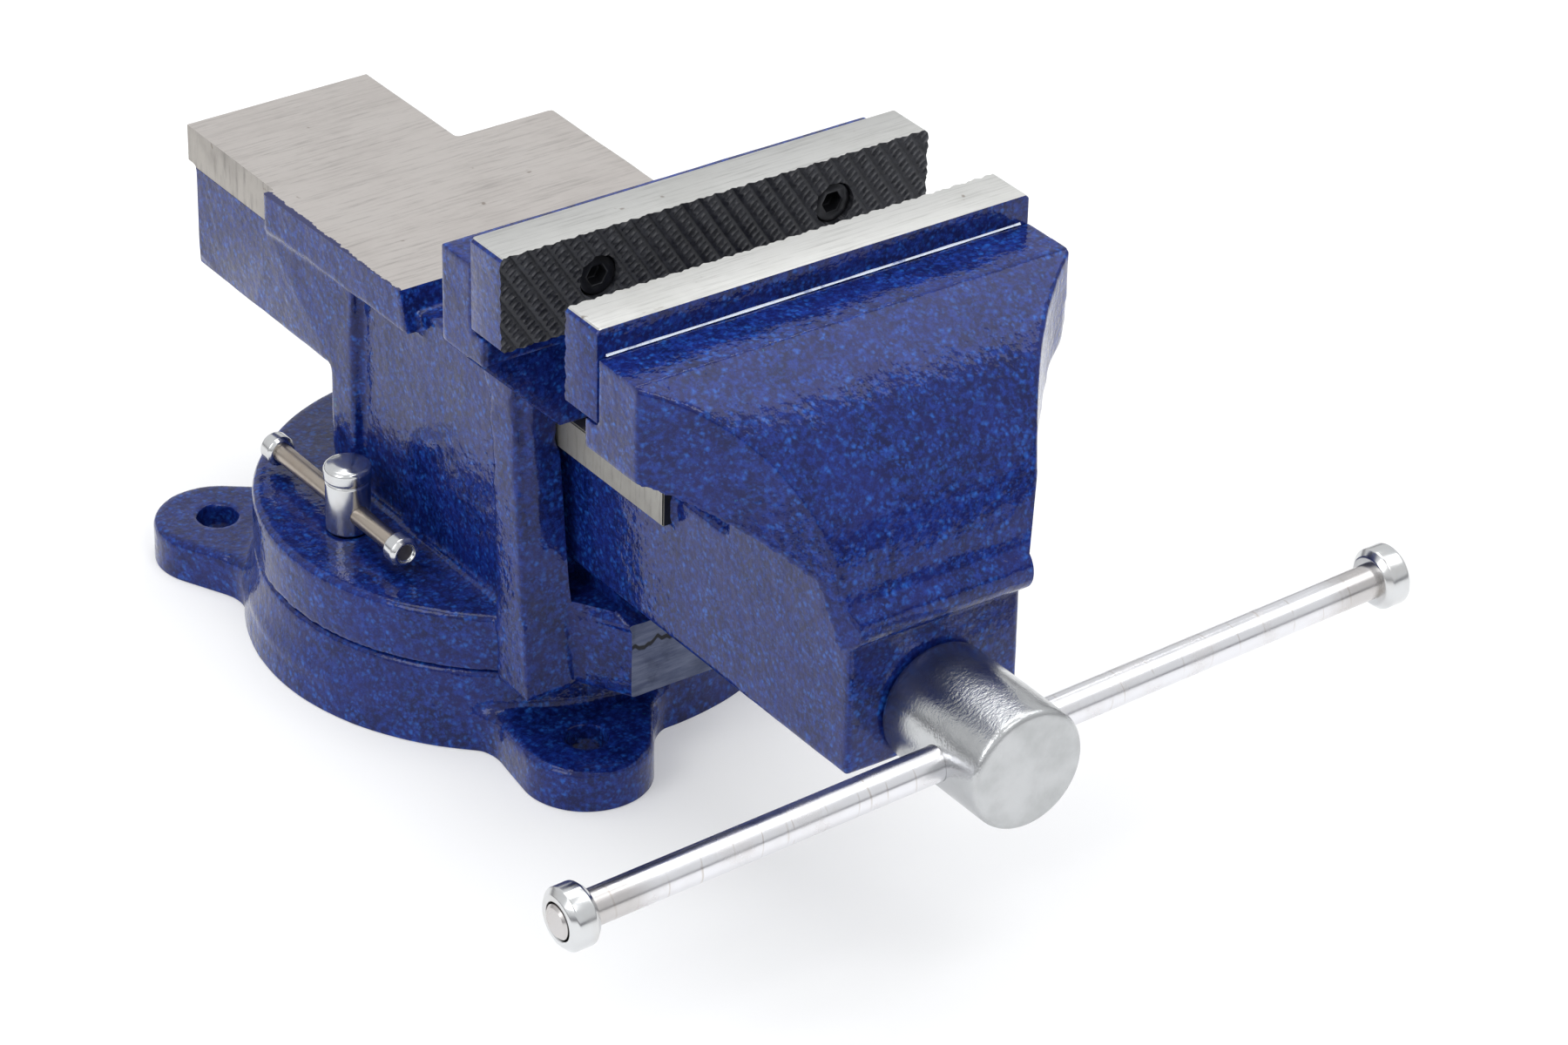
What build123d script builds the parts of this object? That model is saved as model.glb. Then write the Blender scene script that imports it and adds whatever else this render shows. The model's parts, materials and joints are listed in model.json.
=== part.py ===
"""Swivel-base bench vise with an anvil, 125 mm jaws.

Frame: +Z up, +Y to the anvil end, +X to the right seen from the handle end. The origin is
on the swivel axis, in the plane of the base's underside. All lengths are millimetres.
"""
import os
from math import asin, cos, degrees, radians, sin

from build123d import *

# ---- driving dimensions -------------------------------------------------------------
running_gap = 0.06      # radial clearance of a shaft in its bore
face_gap = 0.05         # gap between faces that slide on each other

# jaws
jaw_width = 125.0
plate_thickness = 13.7
plate_height = 25.5
jaw_top = 162.8         # top of both jaw plates
fixed_grip_y = -91.2    # gripping face of the fixed jaw plate
rest_opening = 27.1     # gap between the plates in the rest pose
head_top = 155.4        # top of the castings behind the plates
head_bottom = 129.3
ledge_depth = 5.5       # how far the casting reaches under a plate
plate_screw_x = 34.5

# swivel base
base_radius = 73.0
base_top = 22.1
lug_pcd = 170.0
lug_angles = (9, 129, 249)
lug_radius = 17.4
lug_height = 11.8
lug_hole_radius = 5.5
slot_radius = 50.1      # middle of the annular T-slot
slot_neck = 9.4
slot_width = 16.0
slot_floor = 7.0
slot_roof = 15.5
spigot_radius = 15.0

# body casting
seam = 22.2             # underside of the swivel flange
flange_radius = 69.8
flange_top = 38.6
web_half = 37.0
rib_half = 40.0
pedestal_front = -72.0
pedestal_rear = 28.0
anvil_top = 111.4
anvil_slab = 11.4
tail_rear = 99.5
tail_bottom = 72.0

# sliding jaw
beam_half = 25.2
beam_bottom = 54.1
beam_top = 98.0
beam_front = -182.9
beam_rear = 50.0
beam_chamfer = 3.0
beam_wall_rear = -160.0  # back of the beam's solid front end
hollow_half = 15.0
hollow_top = 86.0
rail_half = 28.6
rail_bottom = 88.0
rail_front = -110.0
rail_rear = 25.0
channel_gap = 0.4        # the beam's side clearance in the body

# lead screw and handle
screw_z = 67.7
screw_radius = 9.0
screw_rear = 55.0
head_radius = 15.9
head_length = 37.8
handle_y = -205.0
handle_radius = 4.5
handle_length = 230.0    # between the knobs
handle_tilt = 2.4        # degrees, right end up
handle_offset = 1.5      # how far the bar has slid to the right
knob_radius = 7.9
knob_length = 8.0
tenon_radius = 3.4

# lead nut
nut_y = -45.0
nut_length = 40.0
nut_half = 14.0
nut_top = 83.0
stem_radius = 9.5
stem_bottom = 34.0

# lock screws
lock_x = 50.0
lock_y = 3.0
lock_hub_radius = 6.0
lock_hub_top = 58.6
lock_shank_radius = 4.0
lock_bar_z = 44.6
lock_bar_radius = 2.6
lock_bar_length = 67.0
lock_bar_offset = 5.0    # how far the bar has slid to the rear
lock_cap_radius = 4.2
lock_cap_length = 5.5

moving_grip_y = fixed_grip_y - rest_opening
fixed_back_y = fixed_grip_y + plate_thickness
moving_back_y = moving_grip_y - plate_thickness
plate_bottom = jaw_top - plate_height
plate_middle = jaw_top - plate_height / 2
jaw_half = jaw_width / 2

os.makedirs("parts", exist_ok=True)


def plane_at_y(y):
    """A sketch plane across the vise at depth y, with local x = X and local y = Z, facing -Y."""
    return Plane.XZ.offset(-y)


def save(part, label):
    part.part.label = label
    export_step(part.part, f"parts/{label}.step")


# ---- swivel base: drum, three bolt lugs, annular T-slot ------------------------------
lug_fillet = 13.0
drum_draft = 3.2         # the drum is this much wider at the bottom

with BuildPart() as swivel_base:
    with BuildSketch():
        Circle(base_radius - 1)
        for angle in lug_angles:
            with PolarLocations(0, 1, start_angle=angle):
                with BuildSketch(mode=Mode.PRIVATE) as lug:
                    with Locations((lug_pcd / 2, 0)):
                        Circle(lug_radius)
                    Circle(lug_radius + 19)
                    make_hull()
                add(lug.sketch)
        corners = vertices().filter_by(
            lambda v: abs(Vector(v.X, v.Y).length - (base_radius - 1)) < 0.01
        )
        fillet(corners, lug_fillet)
    extrude(amount=lug_height)
    lug_rim = faces().sort_by(Axis.Z)[-1].edges()
    fillet(lug_rim, 2.0)
    with BuildSketch(Plane.XZ):
        with BuildLine():
            Polyline(
                (0, 0),
                (base_radius, 0),
                (base_radius - drum_draft, base_top - 1),
                (base_radius - drum_draft - 1, base_top),
                (0, base_top),
                close=True,
            )
        make_face()
    revolve(axis=Axis.Z)
    # the T-slot that the lock nuts ride in
    with BuildSketch(Plane.XZ):
        with Locations((slot_radius, (slot_floor + slot_roof) / 2)):
            Rectangle(slot_width, slot_roof - slot_floor)
        with Locations((slot_radius, base_top)):
            Rectangle(slot_neck, 2 * (base_top - slot_roof))
    revolve(axis=Axis.Z, mode=Mode.SUBTRACT)
    # one hole in the floor lets the T-nuts into the slot
    with BuildSketch():
        with Locations((0, slot_radius)):
            Circle(10.2)
    extrude(amount=slot_floor, mode=Mode.SUBTRACT)
    # relief under the floor, so that the base stands on its rim
    with BuildSketch():
        Circle(60)
        Circle(22, mode=Mode.SUBTRACT)
    extrude(amount=2.5, mode=Mode.SUBTRACT)
    with BuildSketch():
        Circle(spigot_radius + running_gap)
        with PolarLocations(lug_pcd / 2, 3, start_angle=lug_angles[0]):
            Circle(lug_hole_radius)
    extrude(amount=base_top, mode=Mode.SUBTRACT)
save(swivel_base, "swivel_base")


# ---- body casting: swivel flange, pedestal, fixed jaw, anvil and tail -----------------
channel_half = beam_half + channel_gap
channel_floor = beam_bottom - 0.3
channel_roof = beam_top + channel_gap
slab_bottom = anvil_top - anvil_slab
saddle_top = 106.0
slab_front = -9.5
slab_step = 54.5         # where the wide part of the anvil ends
jaw_rear = -64.0

with BuildPart() as body_casting:
    # swivel flange and its spigot
    with BuildSketch(Plane.XY.offset(seam)):
        Circle(flange_radius)
    extrude(amount=flange_top - seam)
    fillet(edges().group_by(Axis.Z)[-1], 2.0)
    with BuildSketch(Plane.XY.offset(seam - 14)):
        Circle(spigot_radius)
    extrude(amount=14)
    # pedestal, seen from the side
    with BuildSketch(Plane.YZ):
        with BuildLine():
            Polyline(
                (pedestal_front, seam),
                (-62, 113),
                (-77, head_bottom),
                (jaw_rear, head_bottom),
                (jaw_rear + 6, saddle_top + 8),
                (jaw_rear + 14, saddle_top),
                (slab_front - 8, saddle_top),
                (slab_front + 8, slab_bottom + 2),
                (pedestal_rear, slab_bottom + 2),
                (pedestal_rear, seam + 12),
                (0, seam),
                close=True,
            )
        make_face()
    extrude(amount=web_half, both=True)
    # fixed jaw head with the ledge under its plate
    with BuildSketch(Plane.YZ):
        with BuildLine():
            Polyline(
                (fixed_back_y - ledge_depth, head_bottom),
                (fixed_back_y - ledge_depth, plate_bottom),
                (fixed_back_y, plate_bottom),
                (fixed_back_y, head_top),
                (jaw_rear, head_top),
                (jaw_rear, head_bottom),
                close=True,
            )
        make_face()
    extrude(amount=jaw_half, both=True)
    # sloping gussets that carry the ends of the jaw
    with BuildSketch(plane_at_y(jaw_rear)):
        Polygon(
            (-jaw_half, head_bottom),
            (-web_half + 1, 102),
            (web_half - 1, 102),
            (jaw_half, head_bottom),
            align=None,
        )
    extrude(amount=12)
    # tail block under the rear of the anvil, with a sloping right shoulder
    with BuildSketch(plane_at_y(tail_rear - 4.2)):
        Polygon(
            (-rib_half, tail_bottom),
            (-rib_half, slab_bottom + 1),
            (15, slab_bottom + 8),
            (33, 94),
            (33, tail_bottom),
            align=None,
        )
    extrude(amount=tail_rear - 4.2 - slab_step + 1)
    with BuildSketch(plane_at_y(slab_step)):
        with Locations((0, (tail_bottom + slab_bottom + 1) / 2)):
            Rectangle(2 * rib_half, slab_bottom + 1 - tail_bottom)
    extrude(amount=slab_step - pedestal_rear + 12)
    # rear ribs, down to the flange
    with BuildSketch(Plane.XY.offset(seam + 12)):
        with Locations((0, pedestal_rear - 6)):
            Rectangle(2 * rib_half, 12)
    extrude(amount=tail_bottom - seam - 12)
    # anvil slab: a wide part and a narrower rear part
    with BuildSketch(Plane.XY.offset(slab_bottom)):
        Polygon(
            (-41.5, slab_front),
            (-40.8, slab_step),
            (-39.6, slab_step),
            (-39.0, tail_rear),
            (16.0, tail_rear),
            (16.5, slab_step),
            (46.5, slab_step),
            (46.5, slab_front),
            align=None,
        )
    extrude(amount=anvil_slab)
    with BuildSketch(Plane.YZ.offset(-41.5)):
        Polygon((slab_front, anvil_top), (slab_front + 1, slab_bottom), (-13.8, slab_bottom), align=None)
    extrude(amount=88)

    # front ribs: a slanted ridge down to the foot, with a rounded knob on top
    for side in (-1, 1):
        with BuildSketch(Plane.XY.offset(seam)):
            Polygon(
                (side * 30, -60),
                (side * 43.7, -58),
                (side * 43.7, pedestal_front - 0.7),
                (side * 30, pedestal_front - 0.7),
                align=None,
            )
        with BuildSketch(Plane.XY.offset(108)):
            Polygon((side * 32, -50), (side * 40, -49), (side * 40, -60), (side * 32, -61), align=None)
        loft()
        with BuildSketch(Plane.YZ.offset(side * (web_half - 5))):
            with Locations((-54.5, 107)):
                Circle(6.8)
        extrude(amount=side * 8.6)
    # nose under the beam, sawn square in front
    with BuildSketch(Plane.XY.offset(seam)):
        Polygon((-19.3, -84.7), (-29, -70), (-29, -40), (29, -40), (29, -70), (19.3, -84.7), align=None)
    extrude(amount=20.7)
    with BuildSketch(Plane.XY.offset(seam + 20.7)):
        Polygon((-20.5, -84.7), (-30, -69), (30, -69), (20.5, -84.7), align=None)
    with BuildSketch(Plane.XY.offset(channel_floor)):
        Polygon((-26, -70), (-30, -64), (30, -64), (26, -70), align=None)
    loft()

    # channel for the beam, and the grooves for its rails
    with BuildSketch(plane_at_y(tail_rear + 1)):
        with BuildLine():
            Polyline(
                (-channel_half, channel_floor),
                (-channel_half, channel_roof - beam_chamfer),
                (-channel_half + beam_chamfer, channel_roof),
                (channel_half - beam_chamfer, channel_roof),
                (channel_half, channel_roof - beam_chamfer),
                (channel_half, channel_floor),
                close=True,
            )
        make_face()
    extrude(amount=tail_rear + 101, mode=Mode.SUBTRACT)
    with BuildSketch(plane_at_y(slab_step)):
        with Locations((0, (rail_bottom - channel_gap + channel_roof) / 2)):
            Rectangle(2 * (rail_half + channel_gap), channel_roof - rail_bottom + channel_gap)
    extrude(amount=slab_step + 100, mode=Mode.SUBTRACT)
    # hole for the lead nut's stem, its bolt and the bolt's head
    with BuildSketch(Plane.XY.offset(stem_bottom)):
        with Locations((0, nut_y)):
            Circle(stem_radius)
    extrude(amount=channel_floor - stem_bottom, mode=Mode.SUBTRACT)
    with BuildSketch(Plane.XY.offset(seam)):
        with Locations((0, nut_y)):
            Circle(4.2)
    extrude(amount=stem_bottom - seam, mode=Mode.SUBTRACT)
    with BuildSketch(Plane.XY.offset(seam)):
        with Locations((0, nut_y)):
            Circle(9.5)
    extrude(amount=8.8, mode=Mode.SUBTRACT)
    # lock screw holes
    with BuildSketch(Plane.XY.offset(seam)):
        with Locations((-lock_x, lock_y), (lock_x, lock_y)):
            Circle(lock_shank_radius + running_gap)
    extrude(amount=flange_top - seam, mode=Mode.SUBTRACT)
    # threaded holes for the plate screws
    with BuildSketch(plane_at_y(fixed_back_y + 10)):
        with Locations((-plate_screw_x, plate_middle), (plate_screw_x, plate_middle)):
            Circle(3)
    extrude(amount=10, mode=Mode.SUBTRACT)
save(body_casting, "body_casting")


# ---- jaw plates and their socket-head screws ------------------------------------------
screw_head_radius = 5.2
counterbore_radius = 5.6
counterbore_depth = 7.4


def jaw_plate(grip_y, back_y):
    """A jaw plate whose gripping face is at grip_y and whose other face is at back_y."""
    facing = 1 if grip_y > back_y else -1
    with BuildPart() as plate:
        with BuildSketch(plane_at_y(max(grip_y, back_y))):
            with Locations((0, plate_middle)):
                Rectangle(jaw_width, plate_height)
        extrude(amount=plate_thickness)
        ends = edges().filter_by(Axis.Y)
        chamfer(ends, 0.8)
        grip = faces().sort_by(Axis.Y)[-1 if facing > 0 else 0]
        with BuildSketch(Plane(grip.center(), x_dir=(1, 0, 0), z_dir=(0, facing, 0))):
            with Locations((-plate_screw_x, 0), (plate_screw_x, 0)):
                Circle(counterbore_radius)
        extrude(amount=-counterbore_depth, mode=Mode.SUBTRACT)
        with BuildSketch(plane_at_y(max(grip_y, back_y))):
            with Locations((-plate_screw_x, plate_middle), (plate_screw_x, plate_middle)):
                Circle(3)
        extrude(amount=plate_thickness, mode=Mode.SUBTRACT)
    return plate


def plate_screws(grip_y, back_y):
    """Two M6 socket-head screws that hold a jaw plate, as two separate solids."""
    facing = 1 if grip_y > back_y else -1
    seat_y = grip_y - facing * counterbore_depth
    with BuildPart() as screws:
        for x in (-plate_screw_x, plate_screw_x):
            seat = Plane((x, seat_y, plate_middle), x_dir=(1, 0, 0), z_dir=(0, facing, 0))
            with BuildSketch(seat):
                Circle(screw_head_radius)
            extrude(amount=6)
            with BuildSketch(seat):
                Circle(3)
            extrude(amount=-(plate_thickness - counterbore_depth + 9.5))
            with BuildSketch(seat.offset(6)):
                RegularPolygon(2.9, 6)
            extrude(amount=-3.6, mode=Mode.SUBTRACT)
    return screws


save(jaw_plate(fixed_grip_y, fixed_back_y), "fixed_jaw_plate")
save(plate_screws(fixed_grip_y, fixed_back_y), "fixed_jaw_screws")
save(jaw_plate(moving_grip_y, moving_back_y), "moving_jaw_plate")
save(plate_screws(moving_grip_y, moving_back_y), "moving_jaw_screws")


# ---- sliding jaw casting: head, curved front, neck and hollow beam --------------------
shelf_front = -147.5     # front edge of the shelf on top of the head
flank_start = -148.7     # where the 45 degree flanks begin
lip_front = -188.5

with BuildPart() as moving_jaw_casting:
    # head and curved front, seen from the side
    with BuildSketch(Plane.YZ):
        with BuildLine():
            Polyline(
                (-184, 106.5),
                (-185.4, 102.5),
            )
            ThreePointArc((-185.4, 102.5), (lip_front, 97), (beam_front, 90.5))
            Polyline(
                (beam_front, 90.5),
                (-178, 107.5),
                (flank_start, head_bottom),
                (moving_back_y + ledge_depth, head_bottom),
                (moving_back_y + ledge_depth, plate_bottom),
                (moving_back_y, plate_bottom),
                (moving_back_y, head_top),
                (shelf_front, head_top),
            )
            ThreePointArc((shelf_front, head_top), (-171.4, 135), (-184, 106.5))
        make_face()
    extrude(amount=jaw_half, both=True)
    # the flanks run in at about 45 degrees to the width of the beam
    with BuildSketch(Plane.XY.offset(80)):
        with BuildLine():
            Polyline(
                (-26.5, -187.5),
                (-26.5, -195),
                (26.5, -195),
                (26.5, -187.5),
            )
            ThreePointArc((26.5, -187.5), (41.2, -166.3), (jaw_half, flank_start))
            Polyline(
                (jaw_half, flank_start),
                (jaw_half, -100),
                (-jaw_half, -100),
                (-jaw_half, flank_start),
            )
            ThreePointArc((-jaw_half, flank_start), (-41.2, -166.3), (-26.5, -187.5))
        make_face()
    extrude(amount=100, mode=Mode.INTERSECT)
    # neck between the head and the beam
    with BuildSketch(Plane.YZ):
        Polygon(
            (beam_front, 80),
            (beam_front, 104),
            (-176, 118),
            (-150, head_bottom + 4),
            (moving_back_y, head_bottom + 4),
            (moving_back_y, 80),
            align=None,
        )
    extrude(amount=beam_half, both=True)
    # beam
    with BuildSketch(plane_at_y(beam_rear)):
        with BuildLine():
            Polyline(
                (-beam_half, beam_bottom),
                (-beam_half, beam_top - beam_chamfer),
                (-beam_half + beam_chamfer, beam_top),
                (beam_half - beam_chamfer, beam_top),
                (beam_half, beam_top - beam_chamfer),
                (beam_half, beam_bottom),
                close=True,
            )
        make_face()
    extrude(amount=beam_rear - beam_front)
    # machined rails along the beam's upper edges
    for side in (-1, 1):
        with BuildSketch(plane_at_y(rail_rear)):
            with Locations((side * (rail_half - 4), (rail_bottom + beam_top) / 2)):
                Rectangle(8, beam_top - rail_bottom)
        extrude(amount=rail_rear - rail_front)
    # the beam is hollow and open below, for the screw and the nut
    with BuildSketch(plane_at_y(beam_rear)):
        with Locations((0, (beam_bottom - 1 + hollow_top) / 2)):
            Rectangle(2 * hollow_half, hollow_top - beam_bottom + 1)
    extrude(amount=beam_rear - beam_wall_rear, mode=Mode.SUBTRACT)
    with BuildSketch(plane_at_y(beam_wall_rear)):
        with Locations((0, screw_z)):
            Circle(screw_radius + running_gap)
    extrude(amount=beam_wall_rear - beam_front, mode=Mode.SUBTRACT)
    # threaded holes for the plate screws
    with BuildSketch(plane_at_y(moving_back_y)):
        with Locations((-plate_screw_x, plate_middle), (plate_screw_x, plate_middle)):
            Circle(3)
    extrude(amount=10, mode=Mode.SUBTRACT)
save(moving_jaw_casting, "moving_jaw_casting")


# ---- lead screw, its retaining parts and the nut --------------------------------------
pin_y = -131.0
pin_radius = 1.5
washer_thickness = 2.5
washer_radius = 12.5
pin_eye_x = 14.3         # the eye of the pin, just outside the washer

with BuildPart() as lead_screw:
    head_front = beam_front - face_gap - head_length
    with BuildSketch(plane_at_y(beam_front - face_gap)):
        with Locations((0, screw_z)):
            Circle(head_radius)
    extrude(amount=head_length)
    fillet(edges().filter_by(GeomType.CIRCLE), 2.2)
    with BuildSketch(plane_at_y(screw_rear)):
        with Locations((0, screw_z)):
            Circle(screw_radius)
    extrude(amount=screw_rear - beam_front + 2)
    chamfer(faces().sort_by(Axis.Y)[-1].edges(), 1.2)
    bar_axis = Plane(
        (0, handle_y, screw_z),
        x_dir=(0, 1, 0),
        z_dir=(cos(radians(handle_tilt)), 0, sin(radians(handle_tilt))),
    )
    with BuildSketch(bar_axis):
        Circle(handle_radius + running_gap)
    extrude(amount=head_radius + 2, both=True, mode=Mode.SUBTRACT)
    with BuildSketch(Plane.YZ):
        with Locations((pin_y, screw_z)):
            Circle(pin_radius)
    extrude(amount=screw_radius + 1, both=True, mode=Mode.SUBTRACT)
save(lead_screw, "lead_screw")

with BuildPart() as take_up_washer:
    with BuildSketch(plane_at_y(pin_y - pin_radius)):
        with Locations((0, screw_z)):
            Circle(washer_radius)
            Circle(screw_radius + 0.3, mode=Mode.SUBTRACT)
    extrude(amount=washer_thickness)
save(take_up_washer, "take_up_washer")

spring_wire = 1.2
spring_radius = 11.0
spring_turns = 4
spring_front = beam_wall_rear + 0.4 + spring_wire
spring_rear = pin_y - pin_radius - washer_thickness - spring_wire

with BuildPart() as take_up_spring:
    with BuildLine() as coil:
        Helix(
            pitch=(spring_rear - spring_front) / spring_turns,
            height=spring_rear - spring_front,
            radius=spring_radius,
            center=(0, spring_rear, screw_z),
            direction=(0, -1, 0),
        )
    with BuildSketch(Plane(coil.line @ 0, z_dir=coil.line % 0)):
        Circle(spring_wire)
    sweep(path=coil.line, is_frenet=True)
save(take_up_spring, "take_up_spring")

with BuildPart() as split_pin:
    with BuildSketch(Plane.YZ.offset(-pin_eye_x)):
        with Locations((pin_y, screw_z)):
            Circle(pin_radius)
    extrude(amount=pin_eye_x + 13)
    with BuildSketch(Plane.YZ.offset(-pin_eye_x)):
        with Locations((pin_y, screw_z)):
            Circle(pin_radius + 0.9)
    extrude(amount=pin_eye_x - washer_radius - 0.3)
save(split_pin, "split_pin")

with BuildPart() as lead_nut:
    with BuildSketch(Plane.XY.offset(channel_floor)):
        with Locations((0, nut_y)):
            Rectangle(2 * nut_half, nut_length)
    extrude(amount=nut_top - channel_floor)
    chamfer(edges().filter_by(Axis.Y).group_by(Axis.Z)[-1], 4)
    with BuildSketch(Plane.XY.offset(stem_bottom)):
        with Locations((0, nut_y)):
            Circle(stem_radius)
    extrude(amount=channel_floor - stem_bottom)
    with BuildSketch(plane_at_y(nut_y + nut_length / 2)):
        with Locations((0, screw_z)):
            Circle(screw_radius + running_gap)
    extrude(amount=nut_length, mode=Mode.SUBTRACT)
    with BuildSketch(Plane.XY.offset(stem_bottom)):
        with Locations((0, nut_y)):
            Circle(4)
    extrude(amount=16, mode=Mode.SUBTRACT)
save(lead_nut, "lead_nut")

nut_bolt_seat = seam + 8.8
nut_bolt_washer_thickness = 1.6

with BuildPart() as nut_bolt:
    head_top_z = nut_bolt_seat - nut_bolt_washer_thickness
    with BuildSketch(Plane.XY.offset(head_top_z)):
        with Locations((0, nut_y)):
            RegularPolygon(7.5, 6)
    extrude(amount=-5.3)
    with BuildSketch(Plane.XY.offset(head_top_z)):
        with Locations((0, nut_y)):
            Circle(4)
    extrude(amount=stem_bottom + 15 - head_top_z)
save(nut_bolt, "nut_bolt")

with BuildPart() as nut_bolt_washer:
    with BuildSketch(Plane.XY.offset(nut_bolt_seat - nut_bolt_washer_thickness)):
        with Locations((0, nut_y)):
            Circle(8)
            Circle(4.2, mode=Mode.SUBTRACT)
    extrude(amount=nut_bolt_washer_thickness)
save(nut_bolt_washer, "nut_bolt_washer")


# ---- handle bar and its two knobs -----------------------------------------------------
def along_handle(distance):
    """A plane across the handle, at this distance to the right of the screw's axis."""
    return bar_axis.offset(distance)


with BuildPart() as handle_bar:
    with BuildSketch(along_handle(handle_offset - handle_length / 2)):
        Circle(handle_radius)
    extrude(amount=handle_length)
    with BuildSketch(along_handle(handle_offset - handle_length / 2 - knob_length - 0.4)):
        Circle(tenon_radius)
    extrude(amount=handle_length + 2 * knob_length + 0.8)
save(handle_bar, "handle_bar")

for side, label in ((-1, "handle_knob_left"), (1, "handle_knob_right")):
    with BuildPart() as handle_knob:
        with BuildSketch(along_handle(handle_offset + side * handle_length / 2)):
            Circle(knob_radius)
        extrude(amount=side * knob_length)
        chamfer(edges().filter_by(GeomType.CIRCLE), 1.1)
        with BuildSketch(along_handle(handle_offset + side * handle_length / 2)):
            Circle(tenon_radius)
        extrude(amount=side * knob_length, mode=Mode.SUBTRACT)
    save(handle_knob, label)


# ---- lock screws, with their tommy bars, caps and T-nuts ------------------------------
t_nut_side = 13.0
dome_radius = 17.3
dome_rim = lock_hub_radius - 0.8
dome_angle = degrees(asin(dome_rim / dome_radius))
dome_rim_z = lock_hub_top - dome_radius * (1 - cos(radians(dome_angle)))
bar_middle_y = lock_y + lock_bar_offset

for side, name in ((-1, "left"), (1, "right")):
    x = side * lock_x
    with BuildPart() as lock_screw:
        with BuildSketch(Plane.XZ.offset(-lock_y)):
            with BuildLine():
                Polyline(
                    (x, slot_floor + 1.5),
                    (x + lock_shank_radius, slot_floor + 1.5),
                    (x + lock_shank_radius, flange_top + face_gap),
                    (x + lock_hub_radius, flange_top + face_gap),
                    (x + lock_hub_radius, 52.6),
                    (x + lock_hub_radius - 0.4, 53.2),
                    (x + lock_hub_radius + 0.4, 54),
                    (x + lock_hub_radius + 0.4, 56.6),
                )
                ThreePointArc(
                    (x + lock_hub_radius + 0.4, 56.6),
                    (x + lock_hub_radius + 0.1, 57.4),
                    (x + dome_rim, dome_rim_z),
                )
                CenterArc((x, lock_hub_top - dome_radius), dome_radius, 90 - dome_angle, dome_angle)
                Line((x, lock_hub_top), (x, slot_floor + 1.5))
            make_face()
        revolve(axis=Axis((x, lock_y, 0), (0, 0, 1)))
        with BuildSketch(plane_at_y(lock_y + 8)):
            with Locations((x, lock_bar_z)):
                Circle(lock_bar_radius + running_gap)
        extrude(amount=16, mode=Mode.SUBTRACT)
    save(lock_screw, f"lock_screw_{name}")

    with BuildPart() as lock_t_nut:
        with BuildSketch(Plane.XY.offset(slot_floor + 1)):
            with Locations((x, lock_y)):
                Rectangle(t_nut_side, t_nut_side)
                Circle(lock_shank_radius + running_gap, mode=Mode.SUBTRACT)
        extrude(amount=slot_roof - slot_floor - 1.1)
    save(lock_t_nut, f"lock_t_nut_{name}")

    with BuildPart() as lock_bar:
        with BuildSketch(plane_at_y(bar_middle_y + lock_bar_length / 2 - 1.5)):
            with Locations((x, lock_bar_z)):
                Circle(lock_bar_radius)
        extrude(amount=lock_bar_length - 3)
    save(lock_bar, f"lock_bar_{name}")

    for end, end_name in ((-1, "front"), (1, "rear")):
        outer_y = bar_middle_y + end * lock_bar_length / 2
        with BuildPart() as lock_cap:
            with BuildSketch(plane_at_y(max(outer_y, outer_y - end * lock_cap_length))):
                with Locations((x, lock_bar_z)):
                    Circle(lock_cap_radius)
            extrude(amount=lock_cap_length)
            fillet(edges().filter_by(GeomType.CIRCLE), 0.9)
            with BuildSketch(plane_at_y(max(outer_y, outer_y - end * lock_cap_length))):
                with Locations((x, lock_bar_z)):
                    Circle(lock_bar_radius)
            extrude(amount=lock_cap_length, mode=Mode.SUBTRACT)
        save(lock_cap, f"lock_cap_{name}_{end_name}")
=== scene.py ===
"""Looks for the bench vise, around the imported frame. Lengths are in metres, in the row frame."""
import json
import math

import bmesh
import bpy
import numpy as np
from mathutils import Matrix, Vector, noise


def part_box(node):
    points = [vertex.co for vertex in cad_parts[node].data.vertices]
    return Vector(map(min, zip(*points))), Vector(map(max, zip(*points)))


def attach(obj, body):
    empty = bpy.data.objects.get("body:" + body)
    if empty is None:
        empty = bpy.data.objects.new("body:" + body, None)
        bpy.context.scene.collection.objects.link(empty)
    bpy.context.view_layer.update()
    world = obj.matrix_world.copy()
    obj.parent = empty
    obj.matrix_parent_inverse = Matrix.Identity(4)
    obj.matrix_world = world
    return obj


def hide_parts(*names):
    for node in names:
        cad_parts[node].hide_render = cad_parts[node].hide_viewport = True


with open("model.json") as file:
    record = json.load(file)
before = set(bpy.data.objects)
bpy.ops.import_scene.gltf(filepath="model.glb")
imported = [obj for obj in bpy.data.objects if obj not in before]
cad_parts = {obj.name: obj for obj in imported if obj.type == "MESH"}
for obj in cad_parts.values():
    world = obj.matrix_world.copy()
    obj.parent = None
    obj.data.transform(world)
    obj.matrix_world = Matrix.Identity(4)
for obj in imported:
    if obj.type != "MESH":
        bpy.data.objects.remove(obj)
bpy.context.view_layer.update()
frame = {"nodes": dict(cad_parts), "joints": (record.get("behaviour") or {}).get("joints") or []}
MM = 0.001


# ---- mesh helpers ---------------------------------------------------------------------
def new_object(name, mesh):
    """Links a mesh into the scene."""
    obj = bpy.data.objects.new(name, mesh)
    bpy.context.scene.collection.objects.link(obj)
    return obj


def object_from(bm, name):
    mesh = bpy.data.meshes.new(name)
    bm.to_mesh(mesh)
    bm.free()
    return new_object(name, mesh)


def welded(node):
    """A bmesh of a CAD node, with its faces joined along their edges."""
    bm = bmesh.new()
    bm.from_mesh(frame["nodes"][node].data)
    bmesh.ops.remove_doubles(bm, verts=bm.verts, dist=2e-6)
    return bm


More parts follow.
